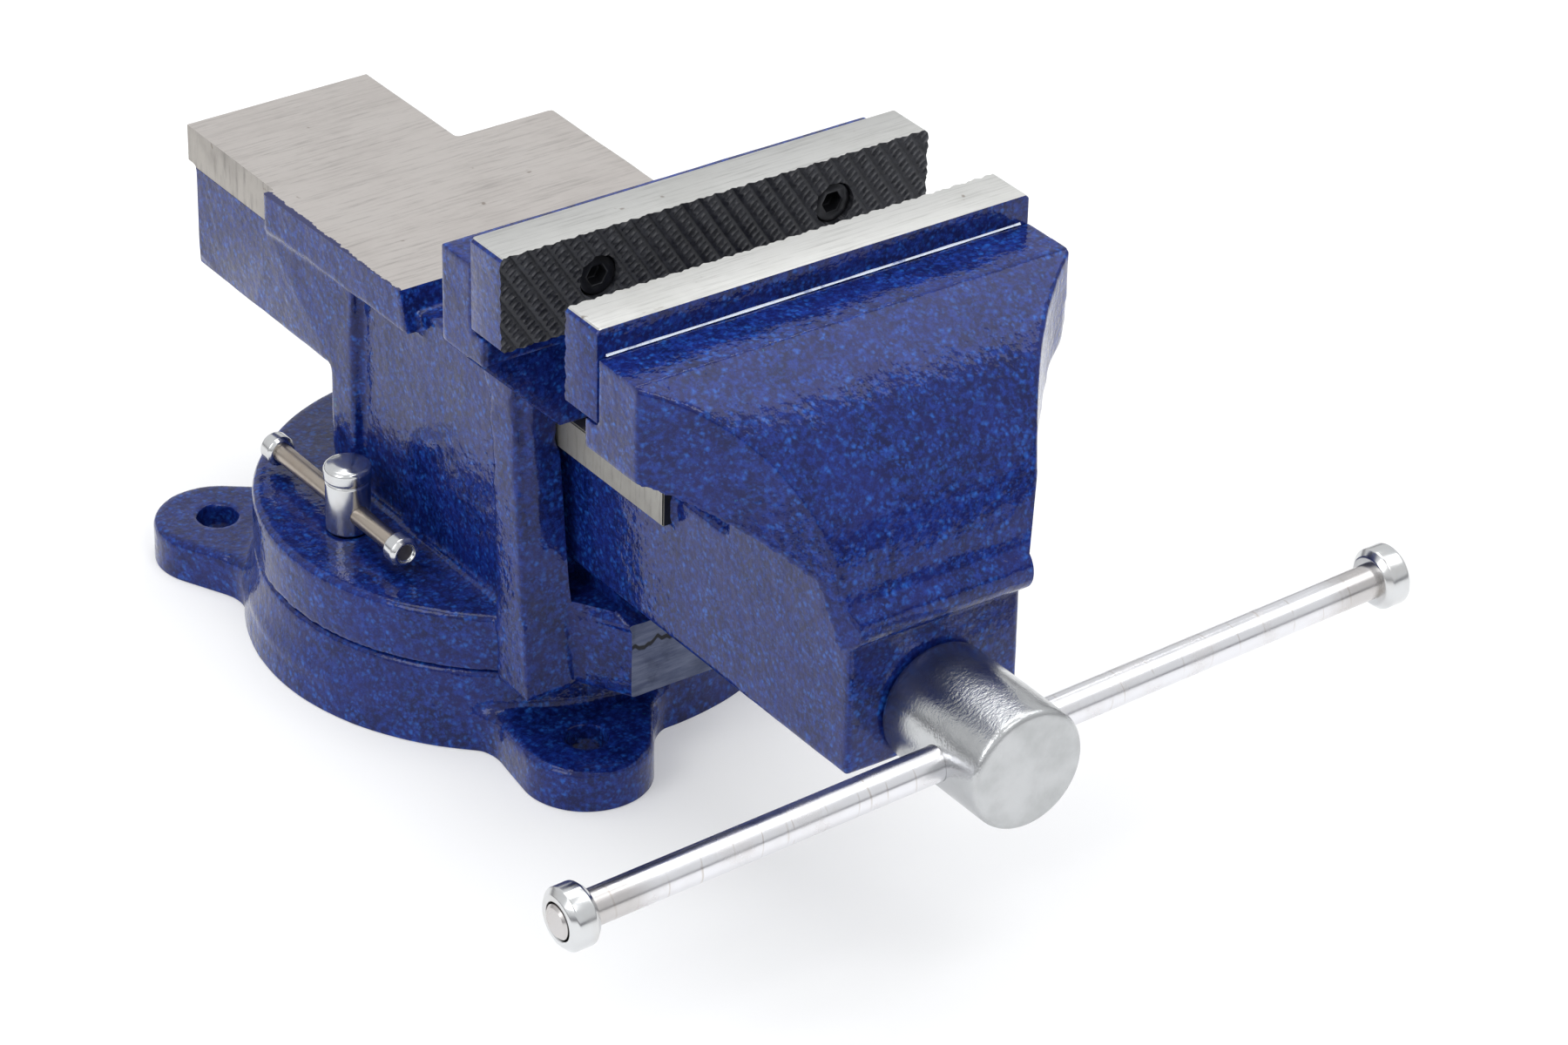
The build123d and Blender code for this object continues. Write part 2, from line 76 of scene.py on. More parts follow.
def apply_modifiers(obj):
    bpy.context.view_layer.update()
    graph = bpy.context.evaluated_depsgraph_get()
    mesh = bpy.data.meshes.new_from_object(
        obj.evaluated_get(graph), preserve_all_data_layers=True, depsgraph=graph
    )
    obj.modifiers.clear()
    old = obj.data
    obj.data = mesh
    bpy.data.meshes.remove(old)
    mesh.name = obj.name


def coordinates(mesh):
    co = np.zeros(len(mesh.vertices) * 3, np.float32)
    mesh.vertices.foreach_get("co", co)
    return co.reshape(-1, 3).astype(float)


def vertex_normals(mesh):
    no = np.zeros(len(mesh.vertices) * 3, np.float32)
    mesh.vertex_normals.foreach_get("vector", no)
    return no.reshape(-1, 3).astype(float)


def set_coordinates(mesh, co):
    mesh.vertices.foreach_set("co", co.astype(np.float32).ravel())
    mesh.update()


def shade(obj, degrees=32):
    obj.data.polygons.foreach_set("use_smooth", [True] * len(obj.data.polygons))
    obj.data.set_sharp_from_angle(angle=math.radians(degrees))


def faces_of(mesh):
    """Centres and normals of the mesh's faces."""
    centre = np.zeros(len(mesh.polygons) * 3, np.float32)
    normal = np.zeros(len(mesh.polygons) * 3, np.float32)
    mesh.polygons.foreach_get("center", centre)
    mesh.polygons.foreach_get("normal", normal)
    return centre.reshape(-1, 3) / MM, normal.reshape(-1, 3)


def finish_piece(obj, body, materials, nodes=(), rule=None):
    """Gives obj its materials and its place. rule returns each face's material number."""
    obj.data.materials.clear()
    for material in materials:
        obj.data.materials.append(material)
    if rule is not None:
        index = rule(*faces_of(obj.data)).astype(np.int32)
    else:
        index = np.zeros(len(obj.data.polygons), np.int32)
    obj.data.polygons.foreach_set("material_index", index)
    obj.data.update()
    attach(obj, body)
    if nodes:
        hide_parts(*nodes)


def cut(obj, low, high):
    """Cuts a box, given by two corners in millimetres, out of obj."""
    bm = bmesh.new()
    low, high = Vector(low) * MM, Vector(high) * MM
    size = high - low
    place = Matrix.Translation((low + high) / 2) @ Matrix.Diagonal((*size, 1))
    bmesh.ops.create_cube(bm, size=1, matrix=place)
    cutter = object_from(bm, "cutter")
    modifier = obj.modifiers.new("cut", "BOOLEAN")
    modifier.operation = "DIFFERENCE"
    modifier.solver = "MANIFOLD"
    modifier.object = cutter
    apply_modifiers(obj)
    bpy.data.objects.remove(cutter)


def wobble(co, scale_mm, seed):
    """Smooth noise from -1 to 1 at each point, with features of this size."""
    offset = Vector((seed * 13.7, seed * 7.1, seed * 3.3))
    step = scale_mm * MM
    return np.array([noise.noise(Vector(p) / step + offset) for p in co])


def casting(node, name, voxel_mm, rounds, grow=(), soft=None, soft_rounds=20, rough_mm=0.12):
    """A rounded, slightly uneven cast shape made from a CAD node.

    grow lists (test, move) pairs that push machined faces out before rounding, so that cutting
    them back leaves crisp edges. soft is a test for the regions with larger fillets.
    """
    bm = welded(node)
    for test, move in grow:
        for v in bm.verts:
            if test(v.co / MM):
                v.co += Vector(move) * MM
    obj = object_from(bm, name)
    remesh = obj.modifiers.new("remesh", "REMESH")
    remesh.mode = "VOXEL"
    remesh.voxel_size = voxel_mm * MM
    apply_modifiers(obj)
    before = coordinates(obj.data)
    if soft is not None:
        group = obj.vertex_groups.new(name="soft")
        weights = soft(before / MM)
        levels = (0.04, 0.25, 0.5, 0.75, 1.0)
        for below, level in zip((0.0, *levels), levels):
            chosen = np.nonzero((weights > below) & (weights <= level))[0]
            group.add([int(i) for i in chosen], level, "REPLACE")
        smoother = obj.modifiers.new("soft", "SMOOTH")
        smoother.factor = 0.5
        smoother.iterations = soft_rounds
        smoother.vertex_group = "soft"
    smoother = obj.modifiers.new("smooth", "SMOOTH")
    smoother.factor = 0.5
    smoother.iterations = rounds
    apply_modifiers(obj)
    after = coordinates(obj.data)
    normal = vertex_normals(obj.data)
    convexity = ((before - after) * normal).sum(1) / (voxel_mm * MM)
    attribute = obj.data.attributes.new("edge", "FLOAT", "POINT")
    attribute.data.foreach_set("value", convexity.astype(np.float32))
    uneven = wobble(after, 14, 1) + 0.5 * wobble(after, 5, 2)
    set_coordinates(obj.data, after + normal * ((uneven - 1.0) * rough_mm * MM)[:, None])
    return obj


def crisp(node, name, bevel_mm):
    """A CAD node with small bevels on its real edges."""
    bm = welded(node)
    bmesh.ops.dissolve_limit(bm, angle_limit=math.radians(0.6), verts=bm.verts, edges=bm.edges)
    obj = object_from(bm, name)
    bevel = obj.modifiers.new("bevel", "BEVEL")
    bevel.limit_method = "ANGLE"
    bevel.angle_limit = math.radians(38)
    bevel.width = bevel_mm * MM
    bevel.segments = 2
    bevel.use_clamp_overlap = True
    apply_modifiers(obj)
    shade(obj, 40)
    return obj


def lathe(name, profile, origin, axis, segments=96):
    """Turns a profile of (distance along the axis, radius) points, in millimetres."""
    axis = Vector(axis).normalized()
    side = axis.orthogonal().normalized()
    other = axis.cross(side)
    bm = bmesh.new()
    rings = []
    for along, radius in profile:
        centre = Vector(origin) + axis * along * MM
        if radius < 1e-6:
            rings.append([bm.verts.new(centre)])
            continue
        ring = []
        for i in range(segments):
            a = 2 * math.pi * i / segments
            ring.append(bm.verts.new(centre + (side * math.cos(a) + other * math.sin(a)) * radius * MM))
        rings.append(ring)
    for a, b in zip(rings, rings[1:]):
        for i in range(segments):
            j = (i + 1) % segments
            corners = [a[i % len(a)], a[j % len(a)], b[j % len(b)], b[i % len(b)]]
            unique = list(dict.fromkeys(corners))
            if len(unique) > 2:
                bm.faces.new(unique)
    bmesh.ops.recalc_face_normals(bm, faces=bm.faces)
    obj = object_from(bm, name)
    shade(obj, 28)
    return obj


def drill(obj, origin, axis, radius_mm, length_mm):
    """Cuts a round hole through obj."""
    half = length_mm / 2
    cutter = lathe("cutter", [(-half, 0), (-half, radius_mm), (half, radius_mm), (half, 0)], origin, axis)
    modifier = obj.modifiers.new("drill", "BOOLEAN")
    modifier.operation = "DIFFERENCE"
    modifier.solver = "EXACT"
    modifier.object = cutter
    apply_modifiers(obj)
    bpy.data.objects.remove(cutter)
    shade(obj, 28)


def rounded(points, radius, steps=4):
    """The profile with its inner corners rounded by arcs."""
    out = [points[0]]
    for a, b, c in zip(points, points[1:], points[2:]):
        a, b, c = Vector(a), Vector(b), Vector(c)
        reach = min(radius, (a - b).length * 0.49, (c - b).length * 0.49)
        start = b + (a - b).normalized() * reach
        end = b + (c - b).normalized() * reach
        for i in range(steps + 1):
            t = i / steps
            p = start.lerp(b, t).lerp(b.lerp(end, t), t)
            out.append((p.x, p.y))
    out.append(points[-1])
    return out


# ---- material helpers -----------------------------------------------------------------
def add(tree, kind, inputs=None, **settings):
    """Adds a shader node. Each input is a value or another node's output."""
    node = tree.nodes.new(kind)
    for key, value in settings.items():
        setattr(node, key, value)
    for key, value in (inputs or {}).items():
        if isinstance(value, bpy.types.NodeSocket):
            tree.links.new(value, node.inputs[key])
        else:
            node.inputs[key].default_value = value
    return node


def start_material(name):
    material = bpy.data.materials.new(name)
    material.use_nodes = True
    tree = material.node_tree
    tree.nodes.clear()
    shader = add(tree, "ShaderNodeBsdfPrincipled")
    output = add(tree, "ShaderNodeOutputMaterial")
    tree.links.new(shader.outputs[0], output.inputs[0])
    where = add(tree, "ShaderNodeTexCoord").outputs["Object"]
    return material, tree, shader, where


def noise_node(tree, where, scale, detail=2.0, rough=0.5, stretch=None, seed=0.0):
    if stretch is not None or seed:
        mapping = add(tree, "ShaderNodeMapping", {"Vector": where})
        mapping.inputs["Scale"].default_value = stretch or (1, 1, 1)
        mapping.inputs["Location"].default_value = (seed, seed * 0.7, seed * 0.3)
        where = mapping.outputs[0]
    inputs = {"Vector": where, "Scale": scale, "Detail": detail, "Roughness": rough}
    return add(tree, "ShaderNodeTexNoise", inputs).outputs[0]


def ramp(tree, value, low, high, to_low=0.0, to_high=1.0, smooth=True):
    node = add(
        tree,
        "ShaderNodeMapRange",
        {"Value": value, "From Min": low, "From Max": high, "To Min": to_low, "To Max": to_high},
        interpolation_type="SMOOTHSTEP" if smooth else "LINEAR",
    )
    return node.outputs[0]


def maths(tree, operation, a, b=0.0, c=0.0):
    node = add(tree, "ShaderNodeMath", operation=operation)
    for i, value in enumerate((a, b, c)):
        if isinstance(value, bpy.types.NodeSocket):
            tree.links.new(value, node.inputs[i])
        else:
            node.inputs[i].default_value = value
    return node.outputs[0]


def mix(tree, factor, a, b):
    """Mixes two colours, each a colour or another node's output."""
    node = add(tree, "ShaderNodeMix", data_type="RGBA")
    for socket, value in ((node.inputs[0], factor), (node.inputs[6], a), (node.inputs[7], b)):
        if isinstance(value, bpy.types.NodeSocket):
            tree.links.new(value, socket)
        elif isinstance(value, tuple):
            socket.default_value = (*value, 1.0)
        else:
            socket.default_value = value
    return node.outputs[2]


def bump(tree, height, distance, strength=1.0, normal=None):
    inputs = {"Height": height, "Distance": distance, "Strength": strength}
    if normal is not None:
        inputs["Normal"] = normal
    return add(tree, "ShaderNodeBump", inputs).outputs[0]


def axis_value(tree, where, axis):
    return add(tree, "ShaderNodeSeparateXYZ", {"Vector": where}).outputs[axis]


# ---- materials ------------------------------------------------------------------------
def hammertone_paint():
    """Deep blue enamel with lighter specks, orange peel, and convex edges lightened partly as worn paint
    and partly as a painted highlight.
    """
    material, tree, shader, where = start_material("hammertone_paint")
    tone = noise_node(tree, where, 70, 3)
    mottle = noise_node(tree, where, 520, 5, 0.72, seed=3.1)
    base = mix(tree, ramp(tree, tone, 0.3, 0.7), (0.0024, 0.0058, 0.058), (0.0058, 0.0100, 0.098))
    base = mix(tree, ramp(tree, mottle, 0.42, 0.68), base, (0.0080, 0.0300, 0.220))
    warp = add(tree, "ShaderNodeTexNoise", {"Vector": where, "Scale": 700, "Detail": 2}).outputs[1]
    offset = add(tree, "ShaderNodeVectorMath", {0: warp, 3: 0.0016}, operation="SCALE").outputs[0]
    bent = add(tree, "ShaderNodeVectorMath", {0: where, 1: offset}, operation="ADD").outputs[0]
    for scale, reach, seed, colour in (
        (820, 0.56, 2.6, (0.014, 0.075, 0.380)),
        (500, 0.52, 7.7, (0.020, 0.120, 0.500)),
    ):
        cells = add(tree, "ShaderNodeTexVoronoi", {"Vector": bent, "Scale": scale, "Randomness": 1.0})
        dots = ramp(tree, cells.outputs["Distance"], 0.0, reach, 1.0, 0.0)
        patches = ramp(tree, noise_node(tree, where, 190, 4, 0.7, seed=seed), 0.40, 0.64)
        amount = maths(tree, "MULTIPLY", dots, maths(tree, "MULTIPLY", patches, 0.8))
        base = mix(tree, amount, base, colour)
    # Convex edges, read from the edge attribute and broken up by noise, are lightened: partly worn paint,
    # partly a painted highlight.
    edge = add(tree, "ShaderNodeAttribute", attribute_name="edge").outputs["Fac"]
    wear_and_edge_highlight = maths(
        tree,
        "MULTIPLY",
        ramp(tree, edge, 0.55, 1.3),
        ramp(tree, noise_node(tree, where, 260, 4, 0.7, seed=1.3), 0.46, 0.66),
    )
    base = mix(tree, maths(tree, "MULTIPLY", wear_and_edge_highlight, 0.7), base, (0.06, 0.09, 0.24))
    teal = ramp(tree, noise_node(tree, where, 190, 4, 0.6, seed=5.9), 0.735, 0.765)
    base = mix(tree, maths(tree, "MULTIPLY", teal, 0.6), base, (0.008, 0.12, 0.22))
    tree.links.new(base, shader.inputs["Base Color"])
    tree.links.new(ramp(tree, mottle, 0.3, 0.7, 0.30, 0.48), shader.inputs["Roughness"])
    shader.inputs["Specular IOR Level"].default_value = 0.03
    shader.inputs["Coat Weight"].default_value = 0.9
    shader.inputs["Coat Roughness"].default_value = 0.07
    shader.inputs["Coat IOR"].default_value = 1.38
    lumps = bump(tree, noise_node(tree, where, 95, 2, 0.5, seed=2.2), 0.0010, 0.30)
    peel = bump(tree, noise_node(tree, where, 470, 2, 0.55, seed=9.4), 0.00022, 0.75, lumps)
    pits = bump(tree, dots, 0.00006, 0.5, peel)
    tree.links.new(pits, shader.inputs["Normal"])
    tree.links.new(peel, shader.inputs["Coat Normal"])
    return material


STEEL_METALLIC = 0.85
SAW_LINE_Z = 0.0372      # metres; the wavy paint line on the foot's sawn front
HEAD_FACE_Y = -0.2206    # metres; the flat end of the screw's head


def ground_steel(name, colour, stain, stretch, roughness=(0.34, 0.5), scale=260.0, lap_x=None):
    """Ground steel with fine lines, faint stains and a few darker marks.

    lap_x is where, in millimetres, the paint of the next face laps raggedly over the edge.
    """
    material, tree, shader, where = start_material(name)
    lines = noise_node(tree, where, scale, 4, 0.7, stretch=stretch, seed=1.7)
    coarse = noise_node(tree, where, scale / 4, 3, 0.6, stretch=stretch, seed=4.1)
    clouds = noise_node(tree, where, 38, 4, 0.6, seed=6.6)
    base = mix(tree, ramp(tree, clouds, 0.35, 0.75), colour, stain)
    darker = tuple(c * 0.62 for c in stain)
    base = mix(tree, ramp(tree, lines, 0.46, 0.80, 0.0, 0.75), base, darker)
    base = mix(tree, ramp(tree, coarse, 0.58, 0.78, 0.0, 0.30), base, darker)
    spots = ramp(tree, noise_node(tree, where, 210, 2, 0.5, seed=8.8), 0.72, 0.78, 0.0, 0.6)
    base = mix(tree, spots, base, (0.16, 0.12, 0.09))
    if lap_x is None:
        shader.inputs["Metallic"].default_value = STEEL_METALLIC
    else:
        tatters = noise_node(tree, where, 330, 4, 0.65, seed=2.4)
        ragged = maths(tree, "MULTIPLY_ADD", tatters, 0.0034, -0.0017)
        reach = maths(tree, "ADD", axis_value(tree, where, 0), ragged)
        lap = ramp(tree, reach, (lap_x - 0.1) * MM, (lap_x + 0.15) * MM, 1.0, 0.0)
        base = mix(tree, lap, base, (0.004, 0.008, 0.075))
        bare = maths(tree, "MULTIPLY_ADD", lap, -STEEL_METALLIC, STEEL_METALLIC)
        tree.links.new(bare, shader.inputs["Metallic"])
    tree.links.new(base, shader.inputs["Base Color"])
    tree.links.new(ramp(tree, clouds, 0.3, 0.7, *roughness), shader.inputs["Roughness"])
    grain = bump(tree, lines, 0.00006, 0.45)
    tree.links.new(bump(tree, coarse, 0.00012, 0.3, grain), shader.inputs["Normal"])
    return material


def nose_face():
    """The sawn front of the casting's foot: grey metal with a dark wavy line of paint."""
    material, tree, shader, where = start_material("nose_face")
    lines = noise_node(tree, where, 240, 4, 0.7, stretch=(0.3, 1, 2.5), seed=1.2)
    clouds = noise_node(tree, where, 110, 4, 0.65, seed=3.6)
    base = mix(tree, ramp(tree, lines, 0.35, 0.7), (0.060, 0.075, 0.140), (0.120, 0.140, 0.215))
    base = mix(tree, ramp(tree, clouds, 0.5, 0.75), base, (0.045, 0.055, 0.10))
    along_x = noise_node(tree, where, 95, 3, 0.6, stretch=(1, 0, 0))
    wave = maths(tree, "MULTIPLY_ADD", along_x, 0.012, -0.006)
    height = maths(tree, "SUBTRACT", axis_value(tree, where, 2), wave)
    distance = maths(tree, "ABSOLUTE", maths(tree, "SUBTRACT", height, SAW_LINE_Z))
    line = ramp(tree, distance, 0.0004, 0.0009, 1.0, 0.0)
    base = mix(tree, line, base, (0.006, 0.007, 0.012))
    tree.links.new(base, shader.inputs["Base Color"])
    tree.links.new(ramp(tree, clouds, 0.3, 0.7, 0.35, 0.6), shader.inputs["Roughness"])
    shader.inputs["Metallic"].default_value = 0.55
    tree.links.new(bump(tree, maths(tree, "SUBTRACT", lines, line), 0.0002, 0.5), shader.inputs["Normal"])
    return material


def black_knurl():
    """Blackened steel teeth, lightened on their ridges partly as wear and partly as a painted highlight.
    """
    material, tree, shader, where = start_material("black_knurl")
    soot = noise_node(tree, where, 500, 4, 0.65)
    ridge = add(tree, "ShaderNodeAttribute", attribute_name="ridge").outputs["Fac"]
    base = mix(tree, ramp(tree, soot, 0.35, 0.7), (0.016, 0.017, 0.022), (0.045, 0.047, 0.056))
    # Tooth ridges lightened towards grey: partly wear, partly a painted highlight.
    base = mix(tree, ramp(tree, ridge, 0.70, 1.0, 0.0, 0.6), base, (0.15, 0.15, 0.16))
    tree.links.new(base, shader.inputs["Base Color"])
    tree.links.new(ramp(tree, soot, 0.3, 0.7, 0.34, 0.55), shader.inputs["Roughness"])
    shader.inputs["Metallic"].default_value = 0.35
    tree.links.new(bump(tree, soot, 0.00012, 0.5), shader.inputs["Normal"])
    return material


BAR_MIDDLE = 0.0015      # metres along X


def plated(name, colour, axis, roughness, marks=0.0, tint=(0.5, 0.45, 0.40)):
    """Bright plating with turning marks round the given axis and, on the bar, worn rings."""
    material, tree, shader, where = start_material(name)
    stretch = tuple(1.0 if i == axis else 0.02 for i in range(3))
    turning = noise_node(tree, where, 900, 3, 0.6, stretch=stretch)
    clouds = noise_node(tree, where, 90, 4, 0.6, seed=2.9)
    base = mix(tree, ramp(tree, clouds, 0.45, 0.8, 0.0, 0.35), colour, tint)
    if marks:
        along = axis_value(tree, where, axis)
        for spacing, width, seed in ((marks, 0.018, 4.4), (marks * 0.37, 0.030, 9.1)):
            bent = maths(tree, "MULTIPLY_ADD", noise_node(tree, where, 60, 2, seed=seed), 0.0040, along)
            cycle = maths(tree, "FRACT", maths(tree, "DIVIDE", bent, spacing))
            near = maths(tree, "ABSOLUTE", maths(tree, "SUBTRACT", cycle, 0.5))
            gaps = ramp(tree, noise_node(tree, where, 170, 3, seed=seed), 0.42, 0.62, 0.0, 0.55)
            ring = ramp(tree, near, 0.0, width, 1.0, 0.0)
            base = mix(tree, maths(tree, "MULTIPLY", ring, gaps), base, tint)
        from_middle = maths(tree, "ABSOLUTE", maths(tree, "SUBTRACT", along, BAR_MIDDLE))
        shoulder = ramp(tree, from_middle, 0.096, 0.107, 0.0, 0.5)
        base = mix(tree, shoulder, base, tuple(c * 0.7 for c in tint))
    tree.links.new(base, shader.inputs["Base Color"])
    tree.links.new(ramp(tree, clouds, 0.3, 0.75, *roughness), shader.inputs["Roughness"])
    shader.inputs["Metallic"].default_value = 1.0
    tree.links.new(bump(tree, turning, 0.00001, 0.25), shader.inputs["Normal"])
    return material


def satin_head():
    """The screw's head: plated over a rough-turned surface, with a cloudy flat face."""
    material, tree, shader, where = start_material("satin_head")
    clouds = noise_node(tree, where, 75, 4, 0.6, seed=2.2)
    grit = noise_node(tree, where, 1150, 3, 0.7, stretch=(0.8, 1, 0.8))
    pitted = ramp(tree, noise_node(tree, where, 60, 3, 0.5, seed=5.5), 0.35, 0.60, 0.35, 1.0)
    base = mix(tree, ramp(tree, clouds, 0.35, 0.75), (0.52, 0.53, 0.54), (0.42, 0.43, 0.435))
    tree.links.new(base, shader.inputs["Base Color"])
    face = ramp(tree, axis_value(tree, where, 1), HEAD_FACE_Y, HEAD_FACE_Y + 0.0008, 0.12, 0.0)
    side = ramp(tree, clouds, 0.3, 0.7, 0.16, 0.26)
    tree.links.new(maths(tree, "ADD", side, face), shader.inputs["Roughness"])
    shader.inputs["Metallic"].default_value = 1.0
    rough = maths(tree, "MULTIPLY", grit, pitted)
    tree.links.new(bump(tree, rough, 0.00017, 0.8), shader.inputs["Normal"])
    return material


def dark_metal(name, colour, roughness, metallic=0.8):
    """Dull or oiled metal with a fine uneven surface."""
    material, tree, shader, where = start_material(name)
    clouds = noise_node(tree, where, 160, 4, 0.6, seed=1.1)
    fine = noise_node(tree, where, 900, 3, 0.6)
    base = mix(tree, ramp(tree, clouds, 0.35, 0.7), colour, tuple(c * 0.6 for c in colour))
    tree.links.new(base, shader.inputs["Base Color"])
    tree.links.new(ramp(tree, clouds, 0.3, 0.7, roughness, roughness + 0.15), shader.inputs["Roughness"])
    shader.inputs["Metallic"].default_value = metallic
    tree.links.new(bump(tree, fine, 0.0001, 0.4), shader.inputs["Normal"])
    return material


def bead_painted_highlight():
    """A pale glossy colour on the bead in the corner behind the plate, a painted highlight, thin and blue
    in places.
    """
    material, tree, shader, where = start_material("bead_painted_highlight")
    clouds = noise_node(tree, where, 210, 4, 0.6, seed=1.9)
    # The pale colour is a painted highlight along the corner, fading to blue in places.
    base = mix(tree, ramp(tree, clouds, 0.26, 0.46), (0.10, 0.16, 0.42), (0.74, 0.80, 0.92))
    tree.links.new(base, shader.inputs["Base Color"])
    tree.links.new(ramp(tree, clouds, 0.3, 0.7, 0.16, 0.3), shader.inputs["Roughness"])
    tree.links.new(bump(tree, noise_node(tree, where, 600, 2), 0.0001, 0.4), shader.inputs["Normal"])
    return material


PAINT = hammertone_paint()
BEAD_HIGHLIGHT = bead_painted_highlight()
ANVIL = ground_steel(
    "ground_anvil", (0.56, 0.525, 0.50), (0.47, 0.44, 0.42), (0.14, 2.2, 1), scale=480.0, lap_x=-41.0
)
BAND = ground_steel(
    "rough_band", (0.44, 0.415, 0.385), (0.34, 0.32, 0.30), (1, 1.6, 0.2), (0.5, 0.65), 420.0
)
PLATE = ground_steel(
    "ground_plate", (0.60, 0.60, 0.585), (0.50, 0.50, 0.485), (0.10, 2.4, 1), scale=480.0
)
RAIL = ground_steel(
    "ground_rail", (0.40, 0.39, 0.36), (0.30, 0.29, 0.27), (1, 1.8, 0.25), (0.45, 0.6), 420.0
)
NOSE = nose_face()
KNURL = black_knurl()
CHROME = plated("chrome_plate", (0.64, 0.65, 0.66), 0, (0.14, 0.26))
BAR = plated("chrome_bar", (0.76, 0.76, 0.79), 0, (0.20, 0.30), marks=0.0235)
HEAD = satin_head()
LOCK_BAR = plated("lock_bar_steel", (0.42, 0.37, 0.32), 1, (0.28, 0.42), tint=(0.25, 0.16, 0.10))
# Real black oxide on the screws and bolt; on the rail ends it is painted shade.
BLACK = dark_metal("black_oxide_and_painted_shade", (0.020, 0.021, 0.026), 0.30, 0.6)
SCREW = dark_metal("turned_steel", (0.36, 0.35, 0.34), 0.28, 1.0)
IRON = dark_metal("bare_iron", (0.16, 0.15, 0.145), 0.5)
WIRE = dark_metal("drawn_wire", (0.33, 0.33, 0.34), 0.25, 1.0)


# ---- castings -------------------------------------------------------------------------
VOXEL = 0.75
ANVIL_TOP = 111.4
SLAB_BOTTOM = 100.0      # underside of the anvil's slab
BAND_Y = 54.5            # the bare side band runs from here to the rear
BAND_X = -39.7
WALL_X = -39.8           # the painted wall under the band
REAR_Y = 99.5
OVERHANG = 3.2           # how far the slab stands out over the painted rear face
NOSE_Y = -84.7
TUNNEL_GAP = 28.8        # half width of the relief beside the beam at the tunnel's mouth
BEAM_CLEAR = 20          # inner edge of that relief's cutters, inside the beam


def base_softness(p):
    radius = np.hypot(p[:, 0], p[:, 1])
    lug_roots = (p[:, 2] < 17) & (p[:, 2] > 9) & (radius > 69) & (radius < 78)
    return np.where(lug_roots, 1.0, 0.0)


base = casting(
    "swivel_base",
    "base_casting",
    VOXEL,
    5,
    grow=[(lambda p: p.z < 0.05, (0, 0, -2.0))],
    soft=base_softness,
    soft_rounds=35,
)
cut(base, (-130, -130, -10), (130, 130, 0))
shade(base)
finish_piece(base, "base", [PAINT], ["swivel_base"])


def at_band(p):
    return p.x < -38.5 and p.y > BAND_Y - 0.1


def body_softness(p):
    foot = (p[:, 2] < 47) & (p[:, 2] > 36.5) & (np.hypot(p[:, 0], p[:, 1]) < 63)
    ribs = (p[:, 2] > 44) & (p[:, 2] < 92) & (p[:, 1] < 30) & (np.abs(p[:, 0]) < 44)
    return np.where(foot, 1.0, np.where(ribs, 0.25, 0.0))


body = casting(
    "body_casting",
    "body_shell",
    VOXEL,
    5,
    grow=[
        (lambda p: abs(p.z - ANVIL_TOP) < 0.05 and p.y > -20, (0, 0, 2.5)),
        (lambda p: at_band(p) and abs(p.z - SLAB_BOTTOM) < 0.1, (0, 0, 0.9)),
        (lambda p: at_band(p) and p.z > SLAB_BOTTOM - 0.1, (-2.5, 0, 0)),
        (lambda p: p.y > REAR_Y - 0.05 and p.z > SLAB_BOTTOM - 0.1, (0, 2.5, 0)),
        (lambda p: p.y < NOSE_Y + 0.05 and p.z < 50, (0, -2.0, 0)),
    ],
    soft=body_softness,
    soft_rounds=60,
)
cut(body, (-60, -30, ANVIL_TOP), (60, 120, 130))
cut(body, (-60, BAND_Y, SLAB_BOTTOM + 0.2), (BAND_X, 120, 120))
cut(body, (-60, REAR_Y, 60), (60, 120, 120))
cut(body, (-60, REAR_Y - OVERHANG, 40), (60, 120, SLAB_BOTTOM - 0.1))
cut(body, (-60, BAND_Y, 60), (WALL_X, 120, SLAB_BOTTOM + 0.3))
cut(body, (-40, -100, 15), (40, NOSE_Y, 56))
for x in (-TUNNEL_GAP, BEAM_CLEAR):
    cut(body, (x, -80, 46), (x + TUNNEL_GAP - BEAM_CLEAR, -58, 88))
shade(body)


def body_faces(centre, normal):
    slab = centre[:, 2] > SLAB_BOTTOM
    top = (np.abs(centre[:, 2] - ANVIL_TOP) < 0.01) & (centre[:, 1] > -20)
    band = (np.abs(centre[:, 0] - BAND_X) < 0.01) & (centre[:, 1] > BAND_Y) & slab
    rear = (np.abs(centre[:, 1] - REAR_Y) < 0.01) & slab
    nose = np.abs(centre[:, 1] - NOSE_Y) < 0.01
    return np.select([top, band | rear, nose], [1, 3, 2], 0)


finish_piece(body, "vise_body", [PAINT, ANVIL, NOSE, BAND], ["body_casting"], body_faces)


def jaw_softness(p):
    corner = (p[:, 0] > 47) & (p[:, 2] < 142) & (p[:, 1] < -130)
    shelf_edge = (p[:, 1] < -142) & (p[:, 2] > 151.5)
    return np.where(corner, 1.0, np.where(shelf_edge, 0.0, 0.04))


FLANK_NORMAL = np.array((0.763, -0.645, -0.041))
FLANK_DISTANCE = 134.6   # of the flank's plane from the origin
WING_X = 62.2            # right end of the head
WING_FRONT = -148.5
WING_CORNER = 6.0        # radius of its lower corner
WING_CORNER_Z = 136.0


def relieve_right_flank(obj):
    """Trims the right flank below the head to a plane that leans back from the front."""
    co = coordinates(obj.data) / MM
    excess = np.clip(co @ FLANK_NORMAL - FLANK_DISTANCE, 0, None)
    share = np.clip((130.8 - co[:, 2]) / 2.4, 0, 1)
    share = share * share * (3 - 2 * share) * (co[:, 0] > 25)
    co[:, 0] -= excess * share / FLANK_NORMAL[0]
    set_coordinates(obj.data, co * MM)


